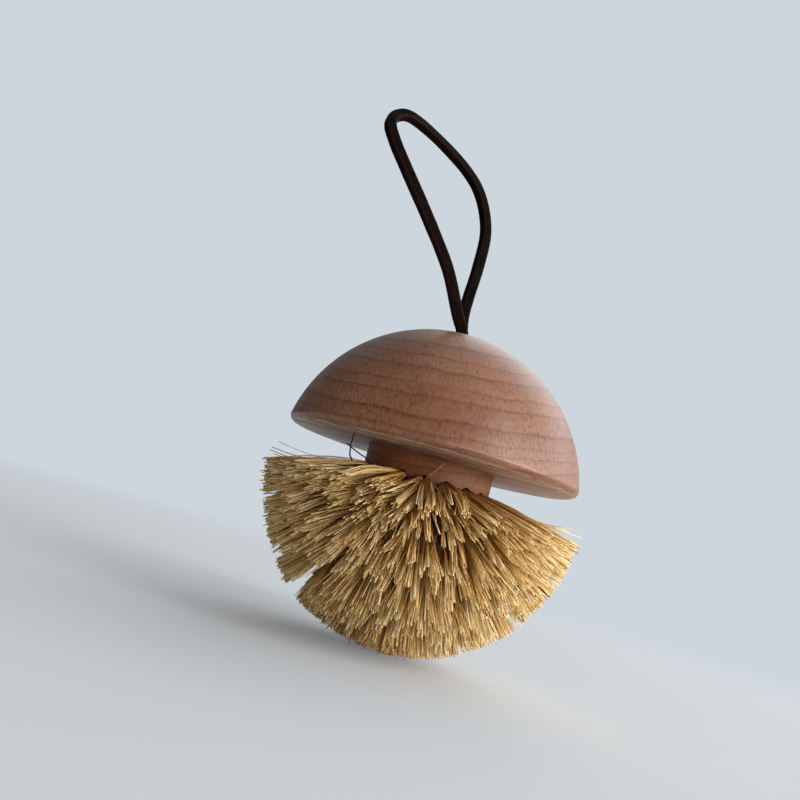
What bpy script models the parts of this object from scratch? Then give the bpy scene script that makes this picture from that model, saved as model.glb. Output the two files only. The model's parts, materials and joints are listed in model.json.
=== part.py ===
"""Pot brush: a turned dome handle over a half-ball head of fibre tufts, hung by a leather lace.

Metres, +Z up. World Z is the turning axis, and the brush stands on its bristle tips at z = 0.
The tufts are drawn: one steel wire runs inside the hollow head and catches the fold of each tuft.
"""

import bmesh
import bpy
from math import asin, atan2, cos, hypot, pi, radians, sin, sqrt
from mathutils import Euler, Matrix, Vector
from random import Random

# Sizes of the dome handle
DOME_RADIUS = 0.0406
DOME_HEIGHT = 0.0354
RIM_ROUND = 0.0018
MOUTH_EASE = 0.0007
SEAT_DEPTH = 0.0010
CHAMBER_HEIGHT = 0.0105
CHAMBER_TAPER = 0.0015

# Sizes of the head block
HEAD_RADIUS = 0.0174
NECK_LENGTH = 0.0091
TENON_RADIUS = 0.0118
TENON_LENGTH = 0.0080
TENON_CHAMFER = 0.0006
CAVITY_RADIUS = 0.0095

# Sizes of the tufts and of the bores that hold them
TIP_RADIUS = 0.0440
REST_CUT = 0.0005
FOCUS_DEPTH = 0.0030
BORE_RADIUS = 0.0020
BORE_DEPTH = 0.0042
PILOT_RADIUS = 0.0010
FOLD_HEIGHT = 0.0008
FOLD_HALF_WIDTH = 0.00055
TIP_JITTER = 0.0006

# Sizes of the wire
WIRE_RADIUS = 0.00025
WIRE_TAIL = 0.0060

# Sizes of the leather lace and its knot
LACE_WIDTH = 0.0031
LACE_THICKNESS = 0.0028
LACE_LEG_GAP = 0.0004
KNOT_LACE_RADIUS = 0.0010
KNOT_SPREAD = 0.00175
KNOT_RISE = 0.0023

# Gaps between neighbours
FIT_GAP = 0.0003
LACE_CLEARANCE = 0.0006
KNOT_CLEARANCE = 0.0012
CUT_OVERRUN = 0.0010

# Layout of the tufts: rows from the neck down, as angles from straight down
TOP_ROW_ANGLE = radians(76)
ROW_NAMES = ("top", "upper", "lower", "bottom", "centre")
ROW_COUNTS = (18, 14, 10, 6, 1)
ROW_TURN_SHARES = (0.75, 0.00, 0.35, 0.10, 0.00)
TIP_SPAN_SHARE = 0.93
TIP_WIDTH_SHARE = 1.15
CELL_FILL_SHARE = 1.12
LACE_STEP_SHARE = 2

# Steps round each shape
DOME_STEPS = 48
HEAD_STEPS = 36
BORE_STEPS = 8
DOME_ARC_STEPS = 10
EDGE_ARC_STEPS = 3
BALL_ARC_STEPS = 7
CAVITY_ARC_STEPS = 4
PLUG_ARC_STEPS = 4
KNOT_POINTS = 42
LACE_BEVEL_STEPS = 2
KNOT_BEVEL_STEPS = 1
ROUTE_SAMPLES = 12
MERGE_DISTANCE = 0.00001

# Heights that follow from the sizes
BALL_Z = TIP_RADIUS - REST_CUT
RIM_Z = BALL_Z + NECK_LENGTH
FOCUS_Z = RIM_Z - FOCUS_DEPTH
APEX_Z = RIM_Z + DOME_HEIGHT
DOME_CENTRE_Z = APEX_Z - DOME_RADIUS
SEAT_RADIUS = HEAD_RADIUS + FIT_GAP
SEAT_Z = RIM_Z + SEAT_DEPTH
SOCKET_RADIUS = TENON_RADIUS + FIT_GAP
SOCKET_Z = RIM_Z + TENON_LENGTH
CHAMBER_Z = SOCKET_Z + CHAMBER_HEIGHT

# The two legs of the lace lie face to face in the hole at the top of the dome
LEG_OFFSET = (LACE_THICKNESS + LACE_LEG_GAP) / 2
LACE_HOLE_RADIUS = hypot(LACE_WIDTH / 2, LACE_THICKNESS + LACE_LEG_GAP / 2) + LACE_CLEARANCE
KNOT_RADIUS = 3 * KNOT_SPREAD + KNOT_LACE_RADIUS
CHAMBER_RADIUS = KNOT_RADIUS + KNOT_CLEARANCE

# The folded root of a tuft, in its bore
PLUG_RADIUS = BORE_RADIUS - FIT_GAP
SLOT_HALF_WIDTH = WIRE_RADIUS + FIT_GAP
WIRE_SIDE = FOLD_HALF_WIDTH + FIT_GAP + WIRE_RADIUS
WIRE_PAIR_OFFSET = WIRE_RADIUS + FIT_GAP / 2

# Route of the free lace, up the left leg and down the right, as (x, y, height above the apex)
LACE_ROUTE = (
    (-0.0010, -0.0016, 0.0),
    (-0.0040, -0.0020, 0.0055),
    (-0.0100, -0.0055, 0.0160),
    (-0.0190, -0.0095, 0.0270),
    (-0.0280, -0.0120, 0.0375),
    (-0.0330, -0.0120, 0.0440),
    (-0.0360, -0.0095, 0.0500),
    (-0.0350, -0.0050, 0.0550),
    (-0.0310, -0.0015, 0.0570),
    (-0.0220, 0.0050, 0.0555),
    (-0.0120, 0.0100, 0.0510),
    (-0.0060, 0.0115, 0.0450),
    (-0.0020, 0.0105, 0.0350),
    (-0.0015, 0.0070, 0.0230),
    (-0.0020, 0.0040, 0.0120),
    (-0.0020, 0.0025, 0.0060),
    (-0.0010, 0.0016, 0.0),
)


def clear_scene():
    """Remove every object, so that the script starts from nothing."""
    for old in list(bpy.data.objects):
        bpy.data.objects.remove(old, do_unlink=True)


def new_collection(name):
    """Add an empty collection to the scene."""
    collection = bpy.data.collections.new(name)
    bpy.context.scene.collection.children.link(collection)
    return collection


def material(name, colour, roughness, metallic=0.0):
    """A Principled material in one plain colour."""
    made = bpy.data.materials.new(name)
    made.use_nodes = True
    shader = made.node_tree.nodes["Principled BSDF"]
    shader.inputs["Base Color"].default_value = (*colour, 1)
    shader.inputs["Roughness"].default_value = roughness
    shader.inputs["Metallic"].default_value = metallic
    return made


def place(name, data, collection, finish=None, parent=None):
    """Add an object of this data to a collection, under a parent."""
    made = bpy.data.objects.new(name, data)
    collection.objects.link(made)
    made.parent = parent
    if finish and not len(data.materials):
        data.materials.append(finish)
    return made


def arc(centre_x, centre_z, radius, start, end, steps):
    """Points (x, z) on an arc. Its angles run from straight up, towards +X."""
    turn = (end - start) / steps
    angles = [start + turn * i for i in range(steps + 1)]
    return [(centre_x + radius * sin(a), centre_z + radius * cos(a)) for a in angles]


def profile_mesh(name, points, closed):
    """A mesh of edges through (x, z) points, to be turned round Z."""
    mesh = bpy.data.meshes.new(name)
    count = len(points)
    edges = [(i, i + 1) for i in range(count - 1)]
    if closed:
        edges.append((count - 1, 0))
    mesh.from_pydata([(x, 0, z) for x, z in points], edges, [])
    return mesh


def turn(made, steps):
    """Turn an object's profile round its own Z."""
    screw = made.modifiers.new("turned", "SCREW")
    screw.axis = "Z"
    screw.angle = 2 * pi
    screw.steps = steps
    screw.render_steps = steps
    screw.use_merge_vertices = True
    screw.merge_threshold = MERGE_DISTANCE
    screw.use_smooth_shade = True


def dome_profile():
    """Section of the dome: over the outside, under the rim, up the seat, socket, chamber and hole."""
    mouth = LACE_HOLE_RADIUS + MOUTH_EASE
    round_z = RIM_Z + RIM_ROUND
    round_x = sqrt((DOME_RADIUS - RIM_ROUND) ** 2 - (round_z - DOME_CENTRE_Z) ** 2)
    rim_angle = atan2(round_x, round_z - DOME_CENTRE_Z)
    outside = arc(0, DOME_CENTRE_Z, DOME_RADIUS, asin(mouth / DOME_RADIUS), rim_angle, DOME_ARC_STEPS)
    edge = arc(round_x, round_z, RIM_ROUND, rim_angle, pi, EDGE_ARC_STEPS)
    inside = [
        (SEAT_RADIUS, RIM_Z),
        (SEAT_RADIUS, SEAT_Z),
        (SOCKET_RADIUS, SEAT_Z),
        (SOCKET_RADIUS, SOCKET_Z),
        (CHAMBER_RADIUS, SOCKET_Z),
        (CHAMBER_RADIUS, CHAMBER_Z - CHAMBER_TAPER),
        (CHAMBER_RADIUS - CHAMBER_TAPER, CHAMBER_Z),
        (LACE_HOLE_RADIUS, CHAMBER_Z),
        (LACE_HOLE_RADIUS, outside[0][1] - MOUTH_EASE),
    ]
    return outside + edge[1:] + inside


def dome_handle(collection, finish, parent):
    """The turned dome that the hand holds."""
    mesh = profile_mesh("dome_handle", dome_profile(), True)
    made = place("dome_handle", mesh, collection, finish, parent)
    turn(made, DOME_STEPS)
    return made


def head_profile():
    """Section of the head: up inside the cavity, over the tenon, down the neck and round the ball."""
    shoulder_z = SEAT_Z - FIT_GAP
    tenon_z = SOCKET_Z - FIT_GAP
    cavity = arc(0, FOCUS_Z, CAVITY_RADIUS, pi, pi / 2, CAVITY_ARC_STEPS)
    ball = arc(0, BALL_Z, HEAD_RADIUS, pi / 2, pi, BALL_ARC_STEPS)
    tenon = [
        (CAVITY_RADIUS, tenon_z),
        (TENON_RADIUS - TENON_CHAMFER, tenon_z),
        (TENON_RADIUS, tenon_z - TENON_CHAMFER),
        (TENON_RADIUS, shoulder_z),
        (HEAD_RADIUS, shoulder_z),
    ]
    return cavity + tenon + ball


def reach(angle):
    """Distance from the tufts' focus to the head's surface, at an angle from straight down."""
    drop = FOCUS_Z - BALL_Z
    if HEAD_RADIUS * cos(angle) < drop * sin(angle):
        return HEAD_RADIUS / sin(angle)
    return drop * cos(angle) + sqrt(HEAD_RADIUS**2 - (drop * sin(angle)) ** 2)


def row_angle(row):
    """Angle of a row of tufts from straight down."""
    return TOP_ROW_ANGLE * (1 - row / (len(ROW_COUNTS) - 1))


def tip_angle(row):
    """Angle from straight down of the middle of a row's tips, which lie lower than its bores."""
    return row_angle(row) * TIP_SPAN_SHARE


def tuft_turns(row):
    """Angles round the brush of the tufts in a row, counted from the front."""
    count = ROW_COUNTS[row]
    return [2 * pi * (i + ROW_TURN_SHARES[row]) / count - pi / 2 for i in range(count)]


def tuft_frame(row, turned):
    """Placement at the tufts' focus with +Z along a tuft."""
    lean = Euler((0, pi - row_angle(row), turned)).to_matrix().to_4x4()
    return Matrix.Translation((0, 0, FOCUS_Z)) @ lean


def bore_profile(row):
    """Section of a tuft's bore: a wide bore that tapers to a pilot hole into the cavity."""
    top = reach(row_angle(row))
    floor = top - BORE_DEPTH
    return [
        (0, top + CUT_OVERRUN),
        (BORE_RADIUS, top + CUT_OVERRUN),
        (BORE_RADIUS, floor),
        (PILOT_RADIUS, CAVITY_RADIUS),
        (PILOT_RADIUS, CAVITY_RADIUS - CUT_OVERRUN),
        (0, CAVITY_RADIUS - CUT_OVERRUN),
    ]


def tuft_bores(cutters):
    """The cutters of all the tufts' bores."""
    for row in range(len(ROW_COUNTS)):
        mesh = profile_mesh("bore_" + ROW_NAMES[row], bore_profile(row), False)
        for turned in tuft_turns(row):
            cutter = place("bore_cutter", mesh, cutters)
            cutter.matrix_world = tuft_frame(row, turned)
            turn(cutter, BORE_STEPS)
            cutter.hide_render = True
            cutter.display_type = "WIRE"


def head_block(collection, cutters, finish, parent):
    """The hollow turned head, bored for its tufts."""
    mesh = profile_mesh("head_block", head_profile(), False)
    made = place("head_block", mesh, collection, finish, parent)
    turn(made, HEAD_STEPS)
    bores = made.modifiers.new("tuft_bores", "BOOLEAN")
    bores.operation = "DIFFERENCE"
    bores.operand_type = "COLLECTION"
    bores.collection = cutters
    return made


def leg_outline(side):
    """Outline of one leg of a folded tuft: a round cut flat by the slot that the wire crosses."""
    start = asin(SLOT_HALF_WIDTH / PLUG_RADIUS)
    turn_step = (pi - 2 * start) / PLUG_ARC_STEPS
    angles = [start + turn_step * i for i in range(PLUG_ARC_STEPS + 1)]
    points = [(side * PLUG_RADIUS * sin(a), side * PLUG_RADIUS * -cos(a)) for a in angles]
    flat = side * SLOT_HALF_WIDTH
    return points + [(flat, side * FOLD_HALF_WIDTH), (flat, -side * FOLD_HALF_WIDTH)]


def tip_of(root, way, row):
    """Where a line from a root point meets the trimmed ball of tips, or the plane under the brush."""
    turned = Euler((0, pi - row_angle(row), 0)).to_matrix()
    centre = turned.inverted() @ Vector((0, 0, BALL_Z - FOCUS_Z))
    offset = root - centre
    along = offset.dot(way)
    length = -along + sqrt(along**2 - offset.length_squared + TIP_RADIUS**2)
    height = FOCUS_Z + (turned @ root).z
    fall = (turned @ way).z
    if height + fall * length < 0:
        length = -height / fall
    return root + way * length


def spread_way(root, row, jitter):
    """Direction of a strand, so that the tips fill the tuft's share of the ball."""
    half_row = TIP_RADIUS * tip_angle(len(ROW_COUNTS) - 2) / 2
    droop = TIP_RADIUS * (row_angle(row) - tip_angle(row))
    ring = 2 * pi * TIP_RADIUS * sin(tip_angle(row))
    half_turn = ring / ROW_COUNTS[row] / 2 if ring > 0 else half_row
    open_x = (abs(root.x) - SLOT_HALF_WIDTH) / (PLUG_RADIUS - SLOT_HALF_WIDTH)
    side = 1 if root.x > 0 else -1
    x = droop + side * open_x * half_row * CELL_FILL_SHARE + jitter.uniform(-1, 1) * TIP_JITTER
    y = root.y / PLUG_RADIUS * half_turn * CELL_FILL_SHARE + jitter.uniform(-1, 1) * TIP_JITTER
    return (Vector((x, y, TIP_RADIUS)) - root).normalized()


def grow_strands(bm, roots, row):
    """Draw each root face out into a strand that ends on the trimmed ball."""
    jitter = Random(row)
    for tip in bmesh.ops.extrude_discrete_faces(bm, faces=roots)["faces"]:
        middle = tip.calc_center_median()
        way = spread_way(middle, row, jitter)
        for corner in tip.verts:
            start = middle + (corner.co - middle) * TIP_WIDTH_SHARE
            corner.co = tip_of(start, way, row)


def fold_heights(row):
    """Heights along a tuft of the fold's underside, of the slot's floor and of the bore's mouth."""
    mouth = reach(row_angle(row))
    under = mouth - BORE_DEPTH + FIT_GAP
    return under, under + FOLD_HEIGHT, mouth


def tuft_mesh(row):
    """A folded tuft along +Z: the fold, two legs with the wire's slot between them, and strands."""
    under, floor, mouth = fold_heights(row)
    bm = bmesh.new()
    rings = [[bm.verts.new((x, y, under)) for x, y in leg_outline(side)] for side in (1, -1)]
    section = [bm.faces.new(ring) for ring in rings]
    section.append(bm.faces.new((rings[0][-1], rings[0][-2], rings[1][-1], rings[1][-2])))
    raised = bmesh.ops.extrude_face_region(bm, geom=section, use_keep_orig=True)["geom"]
    for corner in (item for item in raised if isinstance(item, bmesh.types.BMVert)):
        corner.co.z = floor
    shoulders = [item for item in raised if isinstance(item, bmesh.types.BMFace) and len(item.verts) > 4]
    legs = bmesh.ops.extrude_discrete_faces(bm, faces=shoulders)["faces"]
    for corner in (corner for leg in legs for corner in leg.verts):
        corner.co.z = mouth
    grow_strands(bm, bmesh.ops.triangulate(bm, faces=legs)["faces"], row)
    bmesh.ops.recalc_face_normals(bm, faces=bm.faces)
    mesh = bpy.data.meshes.new("tuft_" + ROW_NAMES[row])
    bm.to_mesh(mesh)
    bm.free()
    return mesh


def tufts(collection, finish, parent):
    """Every tuft in its bore, row by row."""
    for row, name in enumerate(ROW_NAMES):
        mesh = tuft_mesh(row)
        for i, turned in enumerate(tuft_turns(row)):
            made = place(f"tuft_{name}_{i + 1:02d}", mesh, collection, finish, parent)
            made.matrix_world = tuft_frame(row, turned)


def wire_stitch(row, turned):
    """Points of the wire at one tuft: out through the pilot hole, over the fold and back in."""
    under, floor, _ = fold_heights(row)
    inner = (WIRE_PAIR_OFFSET, CAVITY_RADIUS - FIT_GAP - WIRE_RADIUS)
    beside = (WIRE_SIDE, under)
    over = (WIRE_SIDE, floor + FIT_GAP + WIRE_RADIUS)
    frame = tuft_frame(row, turned)
    outward = [Vector((0, -y, z)) for y, z in (inner, beside, over)]
    back = [Vector((0, y, z)) for y, z in (over, beside, inner)]
    return [frame @ point for point in outward + back]


def tube(name, points, radius, resolution=0, closed=False):
    """A round tube along straight runs between points."""
    data = bpy.data.curves.new(name, "CURVE")
    data.dimensions = "3D"
    data.bevel_depth = radius
    data.bevel_resolution = resolution
    data.use_fill_caps = not closed
    spline = data.splines.new("POLY")
    spline.points.add(len(points) - 1)
    for point, spot in zip(spline.points, points):
        point.co = (*spot, 1)
    spline.use_cyclic_u = closed
    return data


def draw_wire(collection, finish, parent):
    """The one steel wire that catches the fold of every tuft, from the neck down to the centre."""
    points = []
    for row in range(len(ROW_COUNTS)):
        for turned in tuft_turns(row):
            points += wire_stitch(row, turned)
    focus = Vector((0, 0, FOCUS_Z))
    first_tail = points[0] + (focus - points[0]).normalized() * WIRE_TAIL
    last_tail = points[-1] + (focus - points[-1]).normalized() * WIRE_TAIL
    data = tube("draw_wire", [first_tail, *points, last_tail], WIRE_RADIUS)
    return place("draw_wire", data, collection, finish, parent)


def smooth_points(route, step):
    """Points about a step apart on a smooth curve that passes through the route."""
    ends = [2 * route[0] - route[1], *route, 2 * route[-1] - route[-2]]
    fine = [route[0]]
    for before, start, end, after in zip(ends, ends[1:], ends[2:], ends[3:]):
        bend = (end - before) / 2, (after - start) / 2
        for i in range(1, ROUTE_SAMPLES + 1):
            t = i / ROUTE_SAMPLES
            near = start * (2 * t**3 - 3 * t**2 + 1) + end * (3 * t**2 - 2 * t**3)
            fine.append(near + bend[0] * (t**3 - 2 * t**2 + t) + bend[1] * (t**3 - t**2))
    lengths = [0]
    for a, b in zip(fine, fine[1:]):
        lengths.append(lengths[-1] + (b - a).length)
    count = max(2, round(lengths[-1] / step))
    even = []
    at = 0
    for i in range(count + 1):
        want = lengths[-1] * i / count
        while at < len(fine) - 2 and lengths[at + 1] < want:
            at += 1
        share = (want - lengths[at]) / (lengths[at + 1] - lengths[at])
        even.append(fine[at].lerp(fine[at + 1], share))
    return even


def hanging_loop(collection, finish, parent):
    """The leather lace: up through the dome, round its free loop and down beside itself."""
    low = CHAMBER_Z + FIT_GAP
    inner = (low, low + (APEX_Z - low) / 2)
    up = [Vector((0, -LEG_OFFSET, z)) for z in inner]
    free = [Vector((x, y, APEX_Z + z)) for x, y, z in LACE_ROUTE]
    down = [Vector((0, LEG_OFFSET, z)) for z in reversed(inner)]
    points = smooth_points(up + free + down, LACE_THICKNESS * LACE_STEP_SHARE)
    data = tube("hanging_loop", points, LACE_THICKNESS / 2, LACE_BEVEL_STEPS)
    data.extrude = (LACE_WIDTH - LACE_THICKNESS) / 2
    return place("hanging_loop", data, collection, finish, parent)


def loop_knot(collection, finish, parent):
    """The overhand knot of the lace's two ends, under the roof of the knot chamber."""
    middle_z = CHAMBER_Z - FIT_GAP - KNOT_RISE - KNOT_LACE_RADIUS
    points = []
    for i in range(KNOT_POINTS):
        t = 2 * pi * i / KNOT_POINTS
        x = KNOT_SPREAD * (sin(t) + 2 * sin(2 * t))
        y = KNOT_SPREAD * (cos(t) - 2 * cos(2 * t))
        points.append(Vector((x, y, middle_z - KNOT_RISE * sin(3 * t))))
    data = tube("loop_knot", points, KNOT_LACE_RADIUS, KNOT_BEVEL_STEPS, closed=True)
    return place("loop_knot", data, collection, finish, parent)


def build():
    """Make the whole brush."""
    clear_scene()
    brush = new_collection("pot_brush")
    cutters = new_collection("cutters")
    root = place("brush_axis", None, brush)
    beech = material("oiled_beech", (0.376, 0.171, 0.091), 0.45)
    fibre = material("plant_fibre", (0.578, 0.376, 0.141), 0.7)
    leather = material("dark_leather", (0.026, 0.010, 0.008), 0.6)
    steel = material("steel_wire", (0.55, 0.55, 0.56), 0.3, 1.0)
    dome_handle(brush, beech, root)
    tuft_bores(cutters)
    head_block(brush, cutters, beech, root)
    tufts(brush, fibre, root)
    draw_wire(brush, steel, root)
    hanging_loop(brush, leather, root)
    loop_knot(brush, leather, root)


build()
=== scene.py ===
"""Looks of the pot brush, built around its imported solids.

Metres, +Z up, in the part's own frame. Sizes repeat part.py's, and only finer steps, fibres and
surface detail are added here.
"""

import json
from math import asin, atan2, cos, hypot, pi, radians, sin, sqrt

import bpy
import numpy as np
from mathutils import Euler, Matrix, Vector

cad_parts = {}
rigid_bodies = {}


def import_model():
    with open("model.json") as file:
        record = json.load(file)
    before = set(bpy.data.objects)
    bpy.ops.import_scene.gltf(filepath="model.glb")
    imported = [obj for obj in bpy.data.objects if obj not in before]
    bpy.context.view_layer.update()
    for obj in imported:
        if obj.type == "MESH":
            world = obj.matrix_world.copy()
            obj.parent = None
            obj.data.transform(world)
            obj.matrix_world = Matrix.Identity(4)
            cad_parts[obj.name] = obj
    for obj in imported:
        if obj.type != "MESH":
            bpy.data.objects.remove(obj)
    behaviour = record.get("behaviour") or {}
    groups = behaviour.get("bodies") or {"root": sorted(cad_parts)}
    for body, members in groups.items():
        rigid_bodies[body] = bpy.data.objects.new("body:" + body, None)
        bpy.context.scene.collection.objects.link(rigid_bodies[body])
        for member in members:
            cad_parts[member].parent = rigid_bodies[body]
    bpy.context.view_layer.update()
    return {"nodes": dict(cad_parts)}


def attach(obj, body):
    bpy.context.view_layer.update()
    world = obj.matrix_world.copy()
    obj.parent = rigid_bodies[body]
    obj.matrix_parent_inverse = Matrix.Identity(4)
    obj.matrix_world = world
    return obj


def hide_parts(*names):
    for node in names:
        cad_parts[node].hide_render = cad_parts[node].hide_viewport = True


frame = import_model()

# Sizes repeated from part.py
DOME_RADIUS = 0.0406
DOME_HEIGHT = 0.0354
RIM_ROUND = 0.0018
MOUTH_EASE = 0.0007
SEAT_DEPTH = 0.0010
CHAMBER_HEIGHT = 0.0105
CHAMBER_TAPER = 0.0015
HEAD_RADIUS = 0.0174
NECK_LENGTH = 0.0091
TENON_RADIUS = 0.0118
TENON_LENGTH = 0.0080
TENON_CHAMFER = 0.0006
CAVITY_RADIUS = 0.0095
TIP_RADIUS = 0.0440
REST_CUT = 0.0005
FOCUS_DEPTH = 0.0030
BORE_RADIUS = 0.0020
BORE_DEPTH = 0.0042
PILOT_RADIUS = 0.0010
FOLD_HEIGHT = 0.0008
WIRE_RADIUS = 0.00025
LACE_WIDTH = 0.0031
LACE_THICKNESS = 0.0028
LACE_LEG_GAP = 0.0004
KNOT_LACE_RADIUS = 0.0010
KNOT_SPREAD = 0.00175
KNOT_RISE = 0.0023
FIT_GAP = 0.0003
LACE_CLEARANCE = 0.0006
KNOT_CLEARANCE = 0.0012
CUT_OVERRUN = 0.0010

# Layout of the tufts, repeated from part.py
TOP_ROW_ANGLE = radians(76)
ROW_NAMES = ("top", "upper", "lower", "bottom", "centre")
ROW_COUNTS = (18, 14, 10, 6, 1)
ROW_TURN_SHARES = (0.75, 0.00, 0.35, 0.10, 0.00)
TIP_SPAN_SHARE = 0.93

# Heights and mating sizes that follow
BALL_Z = TIP_RADIUS - REST_CUT
RIM_Z = BALL_Z + NECK_LENGTH
FOCUS_Z = RIM_Z - FOCUS_DEPTH
APEX_Z = RIM_Z + DOME_HEIGHT
DOME_CENTRE_Z = APEX_Z - DOME_RADIUS
SEAT_RADIUS = HEAD_RADIUS + FIT_GAP
SEAT_Z = RIM_Z + SEAT_DEPTH
SOCKET_RADIUS = TENON_RADIUS + FIT_GAP
SOCKET_Z = RIM_Z + TENON_LENGTH
CHAMBER_Z = SOCKET_Z + CHAMBER_HEIGHT
LEG_OFFSET = (LACE_THICKNESS + LACE_LEG_GAP) / 2
LACE_HOLE_RADIUS = hypot(LACE_WIDTH / 2, LACE_THICKNESS + LACE_LEG_GAP / 2) + LACE_CLEARANCE
CHAMBER_RADIUS = 3 * KNOT_SPREAD + KNOT_LACE_RADIUS + KNOT_CLEARANCE
SLOT_HALF_WIDTH = WIRE_RADIUS + FIT_GAP

# Route of the free lace, as part.py has it
LACE_ROUTE = (
    (-0.0010, -0.0016, 0.0),
    (-0.0040, -0.0020, 0.0055),
    (-0.0100, -0.0055, 0.0160),
    (-0.0190, -0.0095, 0.0270),
    (-0.0280, -0.0120, 0.0375),
    (-0.0330, -0.0120, 0.0440),
    (-0.0360, -0.0095, 0.0500),
    (-0.0350, -0.0050, 0.0550),
    (-0.0310, -0.0015, 0.0570),
    (-0.0220, 0.0050, 0.0555),
    (-0.0120, 0.0100, 0.0510),
    (-0.0060, 0.0115, 0.0450),
    (-0.0020, 0.0105, 0.0350),
    (-0.0015, 0.0070, 0.0230),
    (-0.0020, 0.0040, 0.0120),
    (-0.0020, 0.0025, 0.0060),
    (-0.0010, 0.0016, 0.0),
)

# Fineness of the turned shapes, and a length that counts as none
DOME_SIDES = 256
DOME_STEPS = 72
RIM_STEPS = 12
MOUTH_STEPS = 5
HEAD_SIDES = 144
HEAD_STEPS = 36
CAVITY_STEPS = 16
BORE_SIDES = 24
SHARP_ANGLE = radians(40)
TINY = 1e-9

# Lace and knot: section, and how it varies along the lace
CURVE_STEPS = 25
LACE_STEP = 0.0007
LACE_CORNER = 0.00075
LACE_CORNER_STEPS = 5
LACE_WIDTH_CHANGES = 40
LACE_WIDTH_SCATTER = 0.018
LACE_THICKNESS_CHANGES = 34
LACE_THICKNESS_SCATTER = 0.020
LACE_SLIMMING = 0.02
LACE_SLIM_STEPS = 30
LACE_ROUGHNESS = 0.006
KNOT_STEPS = 180
KNOT_FLATNESS = 0.9
KNOT_CORNER = 0.00055
KNOT_CORNER_STEPS = 3

# Wood: rings, and how fine each pattern is along X, Y and Z
RING_WAY = (-0.09, -0.18, 1.0)
RING_SPACING = 0.0034
RING_WAVE = 0.0026
RING_RIPPLE = 0.00065
RING_UNEVEN = 2.4
RING_UNEVEN_SCALE = 130.0
WAVE_GRAIN = (70, 30, 40)
RIPPLE_GRAIN = (330, 80, 160)
FAINT_GRAIN = (60, 40, 180)
RAY_GRAIN = (3700, 340, 780)
RAY_LEAN = radians(11)
PATCH_GRAIN = (50, 30, 90)
PATCH_PLACE = (0.3, 0.1, 0.2)
PATCH_STRENGTH = -0.14
STREAK_GRAIN = (75, 1500, 900)
PORE_GRAIN = (3800, 700, 3800)
CLOUD_GRAIN = (38, 16, 48)
SHEEN_STREAK_GRAIN = (50, 340, 50)

# Wood: shades that multiply its tint, at their places in a pattern
RING_SHADES = (
    (0.0, (0.93, 0.92, 0.90)),
    (0.06, (1.03, 1.03, 1.03)),
    (0.35, (1.0, 1.0, 1.0)),
    (0.70, (0.93, 0.91, 0.89)),
    (0.88, (0.82, 0.76, 0.71)),
    (0.945, (0.56, 0.46, 0.40)),
    (0.975, (0.66, 0.57, 0.51)),
    (1.0, (0.90, 0.88, 0.86)),
)
RING_FAINT = (0.94, 0.94, 0.94, 1)
RING_FAINT_SHARE = 0.62
FLECK_SHADES = (
    (0.26, (0.64, 0.56, 0.50)),
    (0.35, (0.84, 0.80, 0.77)),
    (0.43, (1.0, 1.0, 1.0)),
    (0.60, (1.05, 1.05, 1.05)),
)
STREAK_SHADES = ((0.30, (0.86, 0.83, 0.80)), (0.50, (1.0, 1.0, 1.0)), (0.70, (1.06, 1.06, 1.06)))
PORE_SHADES = ((0.30, (0.84, 0.81, 0.79)), (0.50, (1.0, 1.0, 1.0)), (0.75, (1.05, 1.05, 1.05)))
CLOUD_PLACES = (0.30, 0.50, 0.70)

# Wood: darker lower edge of the dome, painted underside sheen, painted shade at the neck's foot
EDGE_BAND = 0.0026
EDGE_HEIGHTS = (RIM_Z + EDGE_BAND, RIM_Z + 0.3 * EDGE_BAND)
EDGE_STRENGTH = 0.8
EDGE_SHADE = (0.76, 0.61, 0.52, 1)
UNDERSIDE_FACING = (-0.97, -0.80)
# Painted sheen on the underside: its pale colour, and how its streaks along the grain are spread
UNDERSIDE_SHEEN_COLOUR = (218, 196, 176)
SHEEN_STREAK_CONTRAST = 3.2
SHEEN_STREAK_LEVEL = -0.90
NECK_PAINTED_SHADE_HEIGHTS = (BALL_Z + 0.0050, BALL_Z + 0.0005)
NECK_PAINTED_SHADE = (0.30, 0.22, 0.17, 1)

# Wood: tints from 0 to 255, and the head's own grain, dullness, gloss and painted shade
DOME_TINTS = ((132, 86, 60), (149, 101, 73), (163, 116, 87))
HEAD_TINTS = ((128, 78, 44), (144, 94, 56), (157, 108, 69))
HEAD_PLACE = (0.017, 0.008, 0.0213)
HEAD_DULL = 0.34
HEAD_GLOSS = 0.26
HEAD_PAINTED_SHADE = 0.9

# Fibre: colours from 0 to 255 by shade, then painted shade to the root and painted highlight at the
# cut
FIBRE_COLOURS = (
    (0.0, (60, 34, 18)),
    (0.06, (148, 98, 47)),
    (0.28, (200, 154, 86)),
    (0.58, (225, 188, 122)),
    (0.84, (239, 212, 155)),
    (1.0, (248, 230, 188)),
)
FIBRE_PAINTED_SHADE_AND_HIGHLIGHT = (
    (0.0, (0.34, 0.17, 0.07)),
    (0.12, (0.62, 0.40, 0.22)),
    (0.36, (0.86, 0.70, 0.50)),
    (0.70, (0.98, 0.93, 0.86)),
    (0.96, (1.03, 1.03, 1.03)),
    (1.0, (1.06, 1.11, 1.20)),
)

# Leather and steel: noises as (scale, detail, roughness), and colours
LEATHER_GRAIN = (2600.0, 4.0, 0.65)
LEATHER_BLOTCH = (420.0, 3.0, 0.6)
WIRE_STREAK = (5200.0, 2.0, 0.6)
WIRE_DULL = (300.0, 2.0, 0.5)
LEATHER_COLOURS = ((0.30, (9, 4, 3)), (0.52, (16, 7, 5)), (0.74, (30, 15, 11)))
RUBBED_COLOUR = (54, 31, 22)
STEEL_SHADES = (
    (0.30, (0.36, 0.35, 0.34)),
    (0.60, (0.55, 0.55, 0.56)),
    (0.80, (0.64, 0.64, 0.66)),
)

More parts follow.
